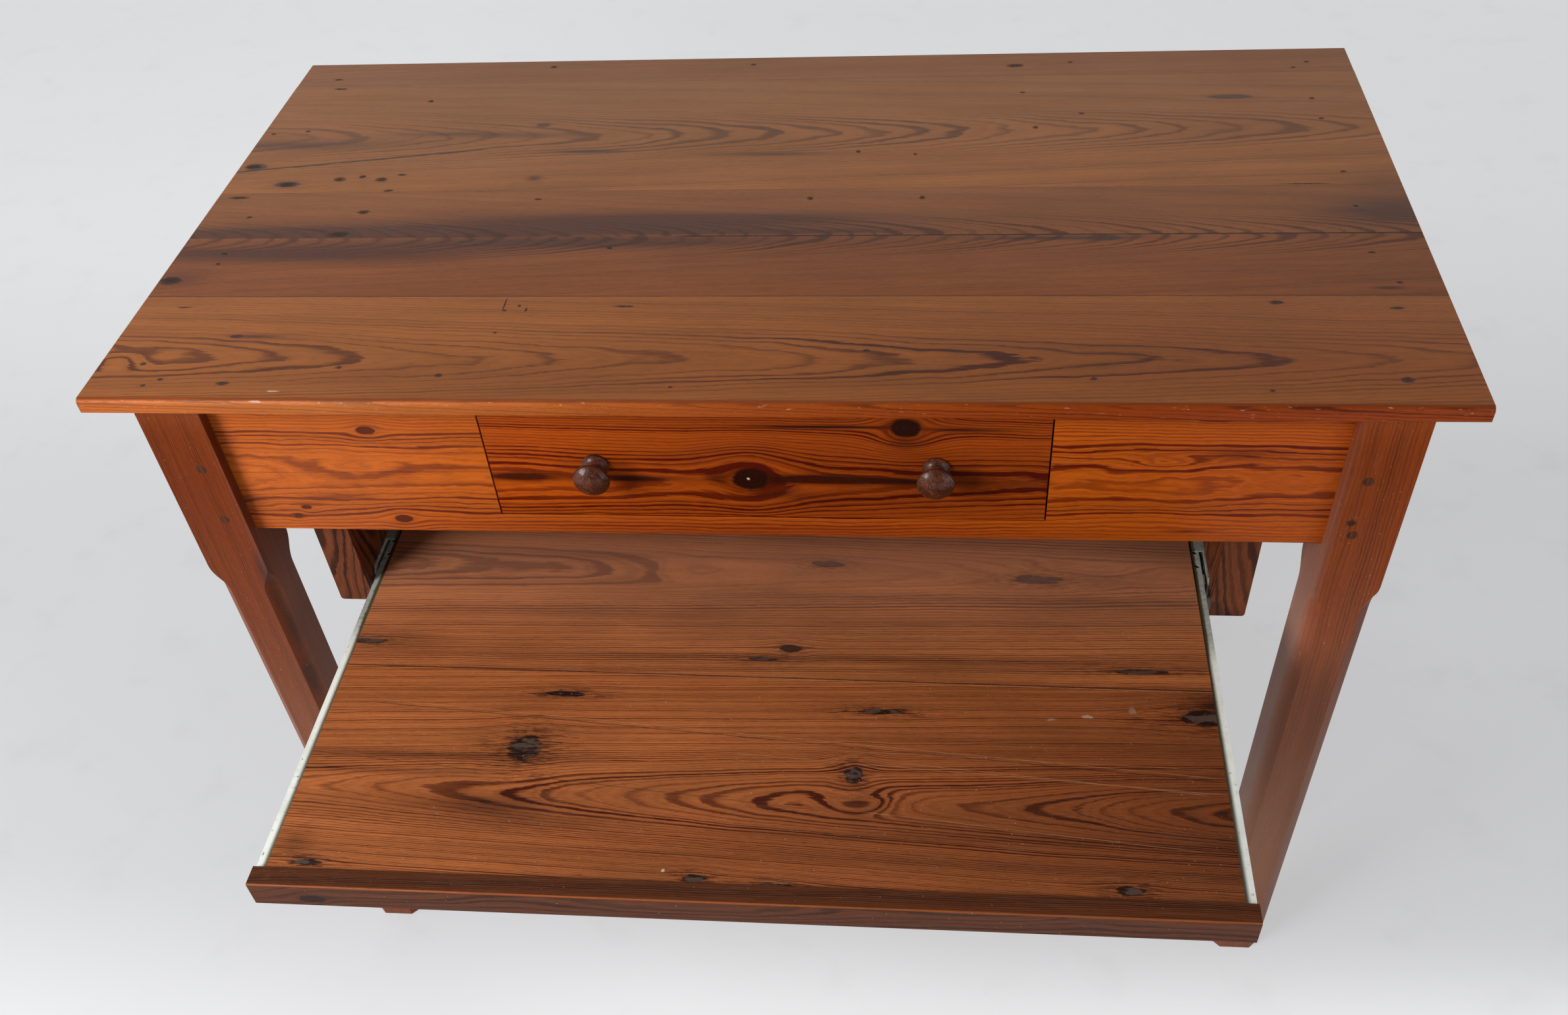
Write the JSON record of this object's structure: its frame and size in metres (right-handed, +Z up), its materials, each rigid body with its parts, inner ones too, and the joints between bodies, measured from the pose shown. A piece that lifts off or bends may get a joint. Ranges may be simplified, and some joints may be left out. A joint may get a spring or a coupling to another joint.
{
  "type": "tavern table",
  "caption": "Pine tavern table on stop-chamfered legs, with a flush drawer between turned knobs and a wide tray that pulls out on roller slides.",
  "frame": {"origin": "on the floor, at the middle of the whole table as it stands with its tray pulled out; the middle of the top is 0.1445 m behind it", "axes": "+X to the sitter's right along the top's length, +Y from the drawer side to the back, +Z up"},
  "size_m": [1.084, 0.887, 0.762],
  "materials": {
    "top_pine": "satin oil varnish on old heart pine, brown",
    "apron_pine": "warm orange varnished heart pine",
    "leg_pine": "reddish brown varnished heart pine",
    "tray_pine": "waxed knotty pine, worn",
    "lip_pine": "dark stained pine",
    "plain_pine": "unfinished pine of the hidden pieces",
    "knob_walnut": "dark polished hardwood",
    "white_enamel": "white epoxy coat on folded steel",
    "nylon": "white nylon",
    "zinc_steel": "zinc plated steel"
  },
  "bodies": {
    "frame": {"back_apron": "apron_pine", "button_screws": "zinc_steel", "channel_screws": "zinc_steel", "cleat_screws": "zinc_steel", "drawer_guide_left": "plain_pine", "drawer_guide_right": "plain_pine", "drawer_kicker_left": "plain_pine", "drawer_kicker_right": "plain_pine", "drawer_runner_left": "plain_pine", "drawer_runner_right": "plain_pine", "drawer_stops": "plain_pine", "front_apron": "apron_pine", "front_roller_axles": "zinc_steel", "hanger_cleats": "plain_pine", "joint_pegs": "leg_pine", "leg_back_left": "leg_pine", "leg_back_right": "leg_pine", "leg_front_left": "leg_pine", "leg_front_right": "leg_pine", "side_apron_left": "apron_pine", "side_apron_right": "apron_pine", "slide_channel_left": "white_enamel", "slide_channel_right": "white_enamel", "top_board_1": "top_pine", "top_board_2": "top_pine", "top_board_3": "top_pine", "top_board_4": "top_pine", "top_board_5": "top_pine", "top_buttons": "plain_pine", "tray_hanger_left": "leg_pine", "tray_hanger_right": "leg_pine"},
    "drawer": {"drawer_front": "apron_pine", "drawer_side_left": "plain_pine", "drawer_side_right": "plain_pine", "drawer_back": "plain_pine", "drawer_bottom": "plain_pine", "drawer_knob_left": "knob_walnut", "drawer_knob_right": "knob_walnut", "knob_screws": "zinc_steel"},
    "tray": {"tray_board_1": "tray_pine", "tray_board_2": "tray_pine", "tray_board_3": "tray_pine", "tray_batten_left": "plain_pine", "tray_batten_right": "plain_pine", "tray_lip": "lip_pine", "lip_dowels": "plain_pine", "batten_screws": "zinc_steel", "tray_rail_left": "white_enamel", "tray_rail_right": "white_enamel", "rail_screws": "zinc_steel", "rear_roller_axles": "zinc_steel"},
    "front_roller_left": {"front_roller_left": "nylon"},
    "front_roller_right": {"front_roller_right": "nylon"},
    "rear_roller_left": {"rear_roller_left": "nylon"},
    "rear_roller_right": {"rear_roller_right": "nylon"}
  },
  "joints": [
    {"name": "drawer_slide", "type": "slide", "parent": "frame", "child": "drawer", "axis": [0, -1, 0], "range_m": [0, 0.3]},
    {"name": "tray_slide", "type": "slide", "parent": "frame", "child": "tray", "axis": [0, 1, 0], "range_m": [0, 0.333]},
    {"name": "front_roller_left_spin", "type": "hinge", "parent": "frame", "child": "front_roller_left", "pos_m": [-0.3759, -0.0805, 0.512], "axis": [1, 0, 0], "range_deg": [-2614, 0]},
    {"name": "rear_roller_left_spin", "type": "hinge", "parent": "tray", "child": "rear_roller_left", "pos_m": [-0.3759, 0.0125, 0.5129], "axis": [1, 0, 0], "range_deg": [-2327, 0]},
    {"name": "front_roller_right_spin", "type": "hinge", "parent": "frame", "child": "front_roller_right", "pos_m": [0.3759, -0.0805, 0.512], "axis": [1, 0, 0], "range_deg": [-2614, 0]},
    {"name": "rear_roller_right_spin", "type": "hinge", "parent": "tray", "child": "rear_roller_right", "pos_m": [0.3759, 0.0125, 0.5129], "axis": [1, 0, 0], "range_deg": [-2327, 0]}
  ],
  "couplings": [
    {"joint": "front_roller_left_spin", "follows": "tray_slide", "rad_per_m": -136.99},
    {"joint": "rear_roller_left_spin", "follows": "tray_slide", "rad_per_m": -121.95},
    {"joint": "front_roller_right_spin", "follows": "tray_slide", "rad_per_m": -136.99},
    {"joint": "rear_roller_right_spin", "follows": "tray_slide", "rad_per_m": -121.95}
  ]
}
